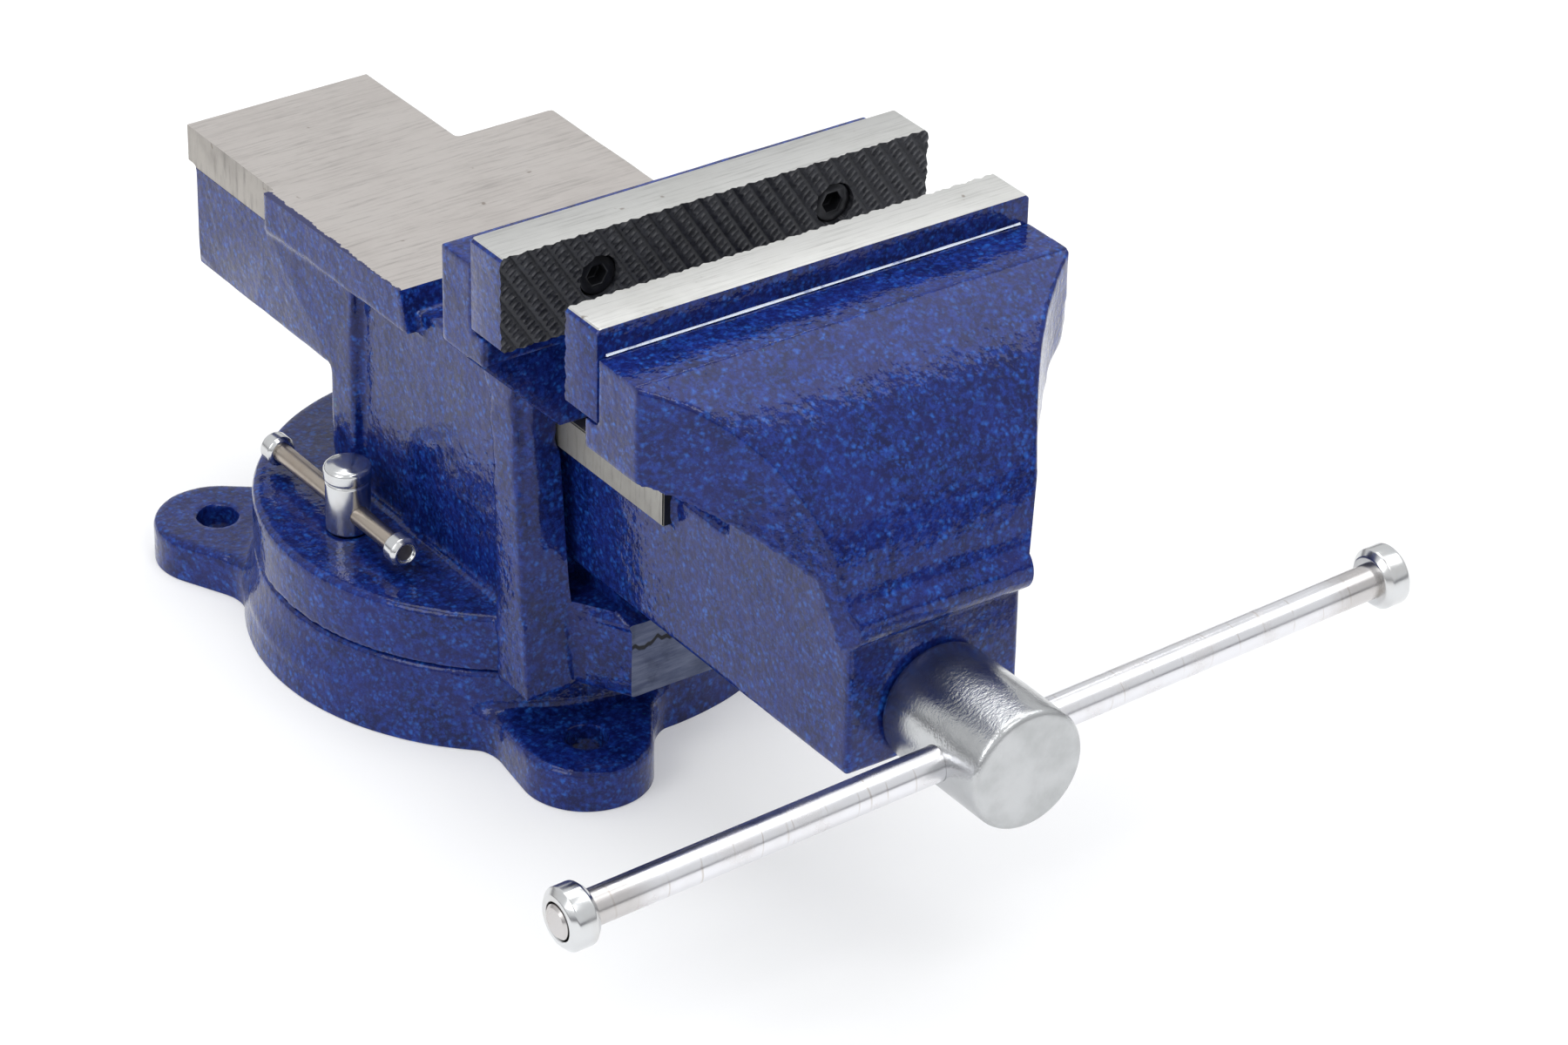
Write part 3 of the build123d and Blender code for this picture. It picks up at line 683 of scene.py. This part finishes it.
def fill_right_wing(obj):
    """Brings the flank beside the head out to the jaw's end, with a rounded lower corner."""
    co = coordinates(obj.data) / MM
    normal = vertex_normals(obj.data)
    below = np.clip(WING_CORNER_Z - co[:, 2], 0, WING_CORNER)
    end = WING_X - WING_CORNER + np.sqrt(WING_CORNER**2 - below**2)
    low = WING_CORNER_Z - WING_CORNER
    flank = (co[:, 0] > 48) & (normal[:, 0] > 0.2) & (co[:, 2] > low) & (co[:, 2] < 154)
    flank &= (co[:, 1] > WING_FRONT) & (co[:, 1] < -128)
    co[:, 0] = np.where(flank, np.maximum(co[:, 0], end), co[:, 0])
    set_coordinates(obj.data, co * MM)


jaw = casting("moving_jaw_casting", "sliding_jaw_shell", VOXEL, 2, soft=jaw_softness, soft_rounds=110)
relieve_right_flank(jaw)
fill_right_wing(jaw)
shade(jaw)
finish_piece(jaw, "sliding_jaw", [PAINT], ["moving_jaw_casting"])


# ---- machined rails of the beam -------------------------------------------------------
def rails():
    """Bare bars, slightly inside the casting, that cover the beam's two rails; their end faces are black
    as painted shade.
    """
    bm = bmesh.new()
    low, high = Vector((24.0, -110.0, 87.9)), Vector((28.6, 25.0, 98.0))
    for side in (-1, 1):
        middle = (low + high) / 2
        middle.x *= side
        place = Matrix.Translation(middle * MM) @ Matrix.Diagonal((*((high - low) * MM), 1))
        bmesh.ops.create_cube(bm, size=1, matrix=place)
    bmesh.ops.bevel(bm, geom=bm.edges[:], offset=0.35 * MM, segments=2, affect="EDGES")
    obj = object_from(bm, "beam_rails")
    shade(obj, 40)
    # The end faces take the black material as painted shade under the jaw's head.
    ends = lambda centre, normal: (np.abs(normal[:, 1]) > 0.7).astype(int)
    finish_piece(obj, "sliding_jaw", [RAIL, BLACK], rule=ends)


rails()


# ---- pale bead in the corner between the shelf and the plate, a painted highlight ------
SHELF_Z = 155.4
BEAD_END_GAP = 2.5


def paint_bead():
    """A thin hollow fillet of uneven size along the plate's foot."""
    low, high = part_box("moving_jaw_plate")
    length = (high.x - low.x - 2 * BEAD_END_GAP * MM) / MM
    bm = bmesh.new()
    steps, sides = 160, 6
    rows = []
    for i in range(steps + 1):
        x = low.x / MM + BEAD_END_GAP + length * i / steps
        reach = 0.42 + 0.16 * noise.noise(Vector((x / 7, 0.3, 0.7)))
        corner = Vector((x, low.y / MM - reach, SHELF_Z + reach))
        row = [Vector((x, low.y / MM + 0.15, SHELF_Z - 0.25))]
        for k in range(sides + 1):
            a = math.pi / 2 * k / sides
            row.append(corner + Vector((0, math.sin(a), -math.cos(a))) * reach)
        rows.append([bm.verts.new(v * MM) for v in row])
    for a, b in zip(rows, rows[1:]):
        for k in range(len(a)):
            j = (k + 1) % len(a)
            bm.faces.new((a[k], b[k], b[j], a[j]))
    bm.faces.new(rows[0])
    bm.faces.new(rows[-1])
    bmesh.ops.recalc_face_normals(bm, faces=bm.faces)
    obj = object_from(bm, "paint_bead")
    shade(obj, 50)
    # The bead takes the pale painted-highlight colour.
    finish_piece(obj, "sliding_jaw", [BEAD_HIGHLIGHT])


paint_bead()


# ---- jaw plates -----------------------------------------------------------------------
KNURL_PITCH = 4.1
KNURL_DEPTH = 0.85
GROOVES = (              # angle, share of the pitch, share of the depth, flat share of a tooth
    (57, 1.0, 1.0, 0.32),
    (-38, 0.46, 0.62, 0.1),
    (20, 0.5, 0.25, 0.2),
)
SCREW_X = 34.5
BORE_RADIUS = 5.6
BORE_DEPTH = 7.4
BORE_SNAP = 0.22         # grid points this near to the bore's edge are moved onto it
PLATE_CHAMFER = 1.0


def tooth_depth(x, z):
    """How far the face lies below the tooth tips, in crossing sets of grooves."""
    depth = np.zeros_like(x)
    for angle, pitch, share, flat in GROOVES:
        a = math.radians(angle)
        across = (x * math.sin(a) + z * math.cos(a)) / (KNURL_PITCH * pitch)
        groove = 1 - np.abs((across % 1) * 2 - 1)
        depth = np.maximum(depth, np.clip((groove - flat) / (1 - flat), 0, 1) * share)
    return depth * KNURL_DEPTH


def jaw_plate(node, name, body, grips_front):
    """A plate with a toothed face and two counterbores, as one grid with a rim behind it."""
    low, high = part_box(node)
    half_x, half_z = (high.x - low.x) / 2 / MM, (high.z - low.z) / 2 / MM
    middle_z = (high.z + low.z) / 2 / MM
    face, back = (low.y / MM, high.y / MM) if grips_front else (high.y / MM, low.y / MM)
    inward = 1 if grips_front else -1
    nx, nz = 400, 82
    xs, zs = np.linspace(-half_x, half_x, nx + 1), np.linspace(-half_z, half_z, nz + 1)
    gx, gz = (g.ravel() for g in np.meshgrid(xs, zs, indexing="ij"))
    teeth = tooth_depth(gx, gz)
    depth = teeth.copy()
    for side in (-1, 1):
        dx = gx - side * SCREW_X
        radius = np.hypot(dx, gz)
        ring = np.abs(radius - BORE_RADIUS) < BORE_SNAP
        scale = np.where(ring, BORE_RADIUS / np.maximum(radius, 1e-6), 1.0)
        gx = side * SCREW_X + dx * scale
        gz = gz * scale
        depth = np.where(radius < BORE_RADIUS - BORE_SNAP, BORE_DEPTH, depth)
    over = np.abs(gx) - half_x + np.abs(gz) - half_z + PLATE_CHAMFER
    fix = np.where(over > 0, over / 2, 0)
    gx = np.sign(gx) * (np.abs(gx) - fix)
    gz = np.sign(gz) * (np.abs(gz) - fix)
    front = np.stack([gx, face + inward * depth, gz + middle_z], 1)

    ring_ids = [i * (nz + 1) for i in range(nx)]
    ring_ids += [nx * (nz + 1) + k for k in range(nz)]
    ring_ids += [i * (nz + 1) + nz for i in range(nx, 0, -1)]
    ring_ids += [k for k in range(nz, 0, -1)]
    outline = front[ring_ids]
    rings = []
    for y, inset in ((back - inward * 0.45, 0.0), (back - inward * 0.1, 0.12), (back, 0.45)):
        ring = outline.copy()
        ring[:, 1] = y
        ring[:, 0] -= np.sign(ring[:, 0]) * inset
        ring[:, 2] -= np.sign(ring[:, 2] - middle_z) * inset
        rings.append(ring)
    points = np.concatenate([front, *rings]) * MM
    faces = []
    for i in range(nx):
        for k in range(nz):
            a = i * (nz + 1) + k
            faces.append((a, a + nz + 1, a + nz + 2, a + 1))
    count = len(ring_ids)
    starts = [ring_ids] + [[len(front) + r * count + i for i in range(count)] for r in range(len(rings))]
    for a, b in zip(starts, starts[1:]):
        for i in range(count):
            j = (i + 1) % count
            faces.append((a[i], b[i], b[j], a[j]))
    faces.append(tuple(starts[-1]))
    mesh = bpy.data.meshes.new(name)
    mesh.from_pydata(points.tolist(), [], faces)
    ridge = mesh.attributes.new("ridge", "FLOAT", "POINT")
    value = np.concatenate([1 - teeth / KNURL_DEPTH, np.zeros(len(points) - len(front))])
    ridge.data.foreach_set("value", value.astype(np.float32))
    bm = bmesh.new()
    bm.from_mesh(mesh)
    bmesh.ops.recalc_face_normals(bm, faces=bm.faces)
    bm.to_mesh(mesh)
    bm.free()
    obj = new_object(name, mesh)
    shade(obj, 24)
    top = high.z / MM

    def rule(centre, normal):
        grid = np.arange(len(centre)) < nx * nz
        up = (centre[:, 2] > top - 0.3) & (normal[:, 2] > 0.6)
        return np.where(grid, 1, np.where(up, 0, 2))

    finish_piece(obj, body, [PLATE, KNURL, PAINT], [node], rule)


jaw_plate("fixed_jaw_plate", "fixed_plate", "vise_body", True)
jaw_plate("moving_jaw_plate", "moving_plate", "sliding_jaw", False)
for node, body_name in (("fixed_jaw_screws", "vise_body"), ("moving_jaw_screws", "sliding_jaw")):
    obj = crisp(node, node.replace("jaw_", "plate_"), 0.35)
    finish_piece(obj, body_name, [BLACK], [node])


# ---- lead screw -----------------------------------------------------------------------
SCREW_AXIS_Z = 67.7
HANDLE_Y = -205.0
SHANK_RADIUS = 9.0
ROOT_RADIUS = 7.8
HEAD_BACK = -182.95
THREAD_FRONT = -151.0
THREAD_REAR = 54.0
PITCH = 5.0


def thread(start, end):
    """A trapezoidal thread on the shank, between two places along Y."""
    steps = 60
    profile = ((0.0, 7.9), (0.14, 8.95), (0.50, 8.95), (0.64, 7.9))
    turns = int((end - start) / PITCH)
    bm = bmesh.new()
    rows = []
    for i in range(steps * turns + 1):
        angle = 2 * math.pi * i / steps
        row = []
        for share, radius in profile:
            y = start + PITCH * (i / steps + share)
            x, z = radius * math.cos(angle), SCREW_AXIS_Z + radius * math.sin(angle)
            row.append(bm.verts.new(Vector((x, y, z)) * MM))
        rows.append(row)
    for i in range(len(rows) - 1):
        for k in range(len(profile)):
            if k + 1 < len(profile):
                corners = (rows[i][k], rows[i + 1][k], rows[i + 1][k + 1], rows[i][k + 1])
            elif i + 1 + steps < len(rows):
                corners = (rows[i][k], rows[i + 1][k], rows[i + 1 + steps][0], rows[i + steps][0])
            else:
                continue
            bm.faces.new(corners)
    bmesh.ops.recalc_face_normals(bm, faces=bm.faces)
    obj = object_from(bm, "screw_thread")
    shade(obj, 40)
    finish_piece(obj, "screw", [SCREW])


def lead_screw():
    """The head, shank and thread. Returns the direction of the hole for the handle."""
    low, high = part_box("lead_screw")
    front, radius = low.y / MM, (high.x - low.x) / 2 / MM
    head_profile = rounded(
        [(front, 0), (front, radius), (HEAD_BACK, radius), (HEAD_BACK, SHANK_RADIUS)], 2.3, 6
    )
    shank_profile = [
        (HEAD_BACK + 6, SHANK_RADIUS),
        (THREAD_FRONT - 1, SHANK_RADIUS),
        (THREAD_FRONT, ROOT_RADIUS),
    ]
    tail_profile = [(THREAD_REAR - 0.2, ROOT_RADIUS), (high.y / MM, 6.9), (high.y / MM, 0)]
    origin = (0, 0, SCREW_AXIS_Z * MM)
    obj = lathe("screw_head", head_profile + shank_profile + tail_profile, origin, (0, 1, 0), 128)
    tilt = Vector(next(j for j in frame["joints"] if j["name"] == "handle_slide")["axis"])
    drill(obj, (0, HANDLE_Y * MM, SCREW_AXIS_Z * MM), tilt, 4.56, 50)
    rule = lambda centre, normal: (centre[:, 1] > HEAD_BACK + 0.5).astype(int)
    finish_piece(obj, "screw", [HEAD, SCREW], ["lead_screw"], rule)
    thread(THREAD_FRONT, THREAD_REAR)
    return tilt


TILT = lead_screw()


# ---- handle ---------------------------------------------------------------------------
BAR_RADIUS = 4.5
KNOB_RADIUS = 7.9


def handle():
    """The bar and its two knobs, at the spans of their CAD nodes along the bar's axis."""
    origin = Vector((0, HANDLE_Y * MM, SCREW_AXIS_Z * MM))
    spans = {}
    for node in ("handle_bar", "handle_knob_left", "handle_knob_right"):
        co = coordinates(frame["nodes"][node].data) - np.array(origin)
        along = co @ np.array(TILT) / MM
        spans[node] = (along.min(), along.max())
    start, end = spans["handle_bar"]
    inner_left, inner_right = spans["handle_knob_left"][1], spans["handle_knob_right"][0]
    profile = [(start, 0), (start, 3.7), (start + 0.6, 4.35), (inner_left, BAR_RADIUS)]
    steps = 60
    for i in range(steps + 1):
        t = inner_left + 0.5 + (inner_right - inner_left - 1.0) * i / steps
        profile.append((t, BAR_RADIUS))
    profile += [(inner_right, BAR_RADIUS), (end - 0.6, 4.35), (end, 3.7), (end, 0)]
    bar = lathe("handle_rod", profile, origin, TILT, 96)
    finish_piece(bar, "handle", [BAR], ["handle_bar"])
    for node, name, side in (
        ("handle_knob_left", "knob_left", -1),
        ("handle_knob_right", "knob_right", 1),
    ):
        near, far = spans[node] if side > 0 else spans[node][::-1]
        hole = BAR_RADIUS + 0.02
        outline = [
            (near, hole),
            (near, KNOB_RADIUS - 1.6),
            (near + side * 1.6, KNOB_RADIUS),
            (far - side * 1.7, KNOB_RADIUS),
            (far - side * 0.15, KNOB_RADIUS - 1.7),
            (far - side * 0.15, 4.9),
            (far - side * 0.9, 4.75),
        ]
        shape = rounded(outline, 0.4, 4) + [(near, hole)]
        knob = lathe(name, shape, origin, TILT, 96)
        finish_piece(knob, "handle", [CHROME], [node])


handle()


# ---- lock screws and small parts ------------------------------------------------------
LOCK_BAR_Z = 44.6
LOCK_BAR_RADIUS = 2.6
LOCK_SHANK_RADIUS = 3.9
LOCK_HUB_RADIUS = 5.95
LOCK_HEAD_RADIUS = 6.35
FLANGE_TOP = 38.6


def lock_hub(side):
    """The lock screw, with a neck under its domed top and a cross hole for the bar."""
    low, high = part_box(f"lock_screw_{side}")
    middle = ((low.x + high.x) / 2, (low.y + high.y) / 2, 0)
    top = high.z / MM
    outline = [
        (low.z / MM, 0),
        (low.z / MM, LOCK_SHANK_RADIUS),
        (FLANGE_TOP + 0.1, LOCK_SHANK_RADIUS),
        (FLANGE_TOP + 0.1, LOCK_HUB_RADIUS),
        (52.6, LOCK_HUB_RADIUS),
        (53.1, LOCK_HUB_RADIUS - 0.3),
        (53.8, LOCK_HEAD_RADIUS),
        (56.7, LOCK_HEAD_RADIUS),
        (57.5, 5.6),
        (58.2, 3.4),
        (top, 0),
    ]
    hub = lathe(f"lock_hub_{side}", rounded(outline, 0.6, 5), middle, (0, 0, 1), 96)
    drill(hub, (middle[0], middle[1], LOCK_BAR_Z * MM), (0, 1, 0), LOCK_BAR_RADIUS + 0.07, 30)
    return hub


def lock_cap(side, end):
    """A pressed cap with a turned-in rim round the end of the bar."""
    low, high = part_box(f"lock_cap_{side}_{end}")
    middle = ((low.x + high.x) / 2, 0, LOCK_BAR_Z * MM)
    inner, outer = (high.y / MM, low.y / MM) if end == "front" else (low.y / MM, high.y / MM)
    out = 1 if outer > inner else -1
    radius = (high.x - low.x) / 2 / MM
    outline = [
        (inner, LOCK_BAR_RADIUS + 0.02),
        (inner, radius - 0.9),
        (inner + out * 0.9, radius),
        (outer - out * 1.1, radius),
        (outer, radius - 0.9),
        (outer, radius - 1.5),
        (outer - out * 0.8, radius - 1.8),
        (outer - out * 0.9, 0),
    ]
    return lathe(f"lock_end_{side}_{end}", rounded(outline, 0.35, 4), middle, (0, 1, 0), 64)


def lock_rod(side):
    low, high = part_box(f"lock_bar_{side}")
    middle = ((low.x + high.x) / 2, 0, LOCK_BAR_Z * MM)
    start, end = low.y / MM, high.y / MM
    outline = [(start, 0), (start, LOCK_BAR_RADIUS), (end, LOCK_BAR_RADIUS), (end, 0)]
    return lathe(f"lock_rod_{side}", rounded(outline, 0.3, 3), middle, (0, 1, 0), 64)


def cap_faces(centre, normal):
    """Picks the dark end of the bar inside a cap's rim."""
    radius = np.hypot(centre[:, 0] - np.median(centre[:, 0]), centre[:, 2] - LOCK_BAR_Z)
    return ((np.abs(normal[:, 1]) > 0.9) & (radius < 2.2)).astype(int)


def ease_nut(obj):
    """Draws the nut's outer faces in a little, clear of the uneven walls of the T-slot."""
    co = coordinates(obj.data)
    away = co - (co.max(0) + co.min(0)) / 2
    outside = np.hypot(away[:, 0], away[:, 1]) > 5.6 * MM
    set_coordinates(obj.data, co - away * 0.03 * outside[:, None])


for side in ("left", "right"):
    finish_piece(lock_hub(side), f"lock_{side}", [CHROME], [f"lock_screw_{side}"])
    finish_piece(lock_rod(side), f"lock_{side}_bar", [LOCK_BAR], [f"lock_bar_{side}"])
    for end in ("front", "rear"):
        cap = lock_cap(side, end)
        nodes = [f"lock_cap_{side}_{end}"]
        finish_piece(cap, f"lock_{side}_bar", [CHROME, IRON], nodes, cap_faces)
    nut = crisp(f"lock_t_nut_{side}", f"t_nut_{side}", 0.4)
    ease_nut(nut)
    finish_piece(nut, "vise_body", [SCREW], [f"lock_t_nut_{side}"])

SMALL = (                # CAD node, piece, body, slot, material, bevel
    ("lead_nut", "screw_nut", "vise_body", "nut_iron", IRON, 0.8),
    ("nut_bolt", "nut_hex_bolt", "vise_body", "blackened_steel", BLACK, 0.4),
    ("nut_bolt_washer", "nut_washer", "vise_body", "spring_steel", WIRE, 0.2),
    ("take_up_washer", "screw_washer", "screw", "spring_steel", WIRE, 0.25),
    ("split_pin", "cotter_pin", "screw", "spring_steel", WIRE, 0.25),
)
for node, name, body_name, slot_name, material, width in SMALL:
    finish_piece(crisp(node, name, width), body_name, [material], [node])

spring = frame["nodes"]["take_up_spring"]
spring.data.materials.clear()
spring.data.materials.append(WIRE)


# ---- floor, light and camera ----------------------------------------------------------
def floor():
    """A pale sheet just under the base, faintly lit from within so that it stays near white."""
    bm = bmesh.new()
    bmesh.ops.create_grid(bm, x_segments=8, y_segments=8, size=3.0)
    obj = object_from(bm, "floor")
    obj.location.z = -0.0003
    material, tree, shader, where = start_material("pale_floor")
    tone = ramp(tree, noise_node(tree, where, 2.0, 2), 0.2, 0.8)
    tree.links.new(mix(tree, tone, (0.66, 0.66, 0.66), (0.68, 0.68, 0.68)), shader.inputs["Base Color"])
    shader.inputs["Roughness"].default_value = 0.9
    shader.inputs["Specular IOR Level"].default_value = 0.1
    shader.inputs["Emission Color"].default_value = (0.99, 0.995, 1.0, 1.0)
    shader.inputs["Emission Strength"].default_value = 0.32
    obj.data.materials.append(material)


SOFT_BOXES = (           # name, place, target (None points straight down), size, watts
    ("key_box", (0.66, 0.58, 1.3), None, (0.3, 0.12), 0.6),
    ("top_box", (0.05, 0.25, 1.3), None, (0.9, 0.7), 4.5),
    ("left_box", (-1.1, -0.25, 0.9), (0, -0.02, 0.06), (0.6, 0.8), 4.5),
    ("front_box", (0.0, -0.85, 1.2), (0.05, -0.35, 0), (0.5, 0.4), 2.6),
    ("haze_box", (0.72, -0.36, 1.15), (0, -0.1, 0.1), (0.7, 0.7), 2.6),
)
CAMERA_PLACE = (-0.67865, -1.06085, 0.77842)
CAMERA_ANGLES = (-35.82, 30.87, 1.33)    # azimuth, elevation and roll, in degrees


def area_light(name, place, target, size, power):
    light = bpy.data.lights.new(name, "AREA")
    light.shape = "RECTANGLE"
    light.size, light.size_y = size
    light.energy = power
    obj = bpy.data.objects.new(name, light)
    obj.location = place
    if target is not None:
        obj.rotation_euler = (Vector(target) - Vector(place)).to_track_quat("-Z", "Y").to_euler()
    bpy.context.scene.collection.objects.link(obj)


def studio():
    """A white surround with a darker band at eye level, and soft boxes all round."""
    world = bpy.data.worlds.new("studio")
    world.use_nodes = True
    tree = world.node_tree
    background = tree.nodes["Background"]
    height = axis_value(tree, add(tree, "ShaderNodeTexCoord").outputs["Generated"], 2)
    level = ramp(tree, maths(tree, "ABSOLUTE", height), 0.05, 0.22)
    tree.links.new(mix(tree, level, (0.25, 0.25, 0.27), (0.98, 0.99, 1.0)), background.inputs["Color"])
    background.inputs["Strength"].default_value = 0.85
    bpy.context.scene.world = world
    for light in SOFT_BOXES:
        area_light(*light)


def camera():
    """A long lens at the place from which the photo was taken."""
    data = bpy.data.cameras.new("camera")
    data.sensor_width = 36.0
    data.lens = 127.1
    data.clip_start = 0.01
    obj = bpy.data.objects.new("camera", data)
    azimuth, elevation, roll = (math.radians(a) for a in CAMERA_ANGLES)
    turn = (
        Matrix.Rotation(azimuth, 4, "Z")
        @ Matrix.Rotation(math.pi / 2 - elevation, 4, "X")
        @ Matrix.Rotation(roll, 4, "Z")
    )
    obj.matrix_world = Matrix.Translation(CAMERA_PLACE) @ turn
    bpy.context.scene.collection.objects.link(obj)
    bpy.context.scene.camera = obj


floor()
studio()
camera()
bpy.context.scene.view_settings.view_transform = "Standard"
